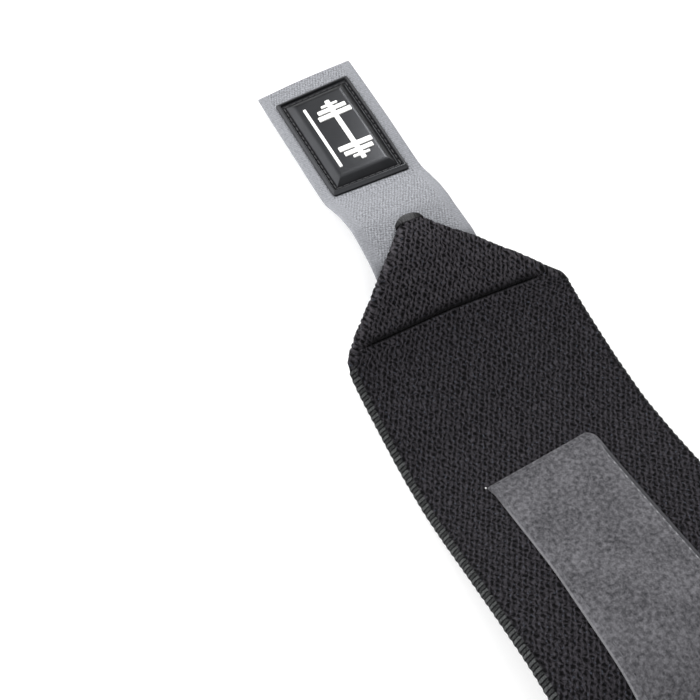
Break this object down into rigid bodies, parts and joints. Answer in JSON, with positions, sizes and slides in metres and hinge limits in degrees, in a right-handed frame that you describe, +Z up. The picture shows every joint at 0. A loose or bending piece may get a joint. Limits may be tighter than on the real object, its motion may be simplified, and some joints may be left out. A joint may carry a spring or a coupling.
{
  "type": "wrist wrap",
  "caption": "Knitted elastic wrist wrap lying open in loose waves, with a folded point, a grey hook tab with a moulded label, and a strip of loop pile.",
  "frame": {"origin": "middle of the wrap's length and width, on the surface it lies on", "axes": "+X along the wrap from the tab's free end to the hem, +Y across it, +Z up from the table"},
  "size_m": [0.4558, 0.08, 0.0308],
  "materials": {
    "knit": "coarse black elastic knit",
    "turned_end": "smooth dark grey tape",
    "tape": "light grey woven tape with plain selvedges",
    "hooks": "grey nylon hooks",
    "label": "satin black moulded rubber",
    "print": "raised white moulded rubber",
    "pile": "mottled grey brushed loop pile"
  },
  "bodies": {
    "root": {"band": "knit", "tip_cap": "turned_end", "tab_tape": "tape", "hook_field": "hooks", "label": "label", "label_motif": "print", "label_stripe": "print", "loop_strip": "pile"}
  },
  "joints": []
}
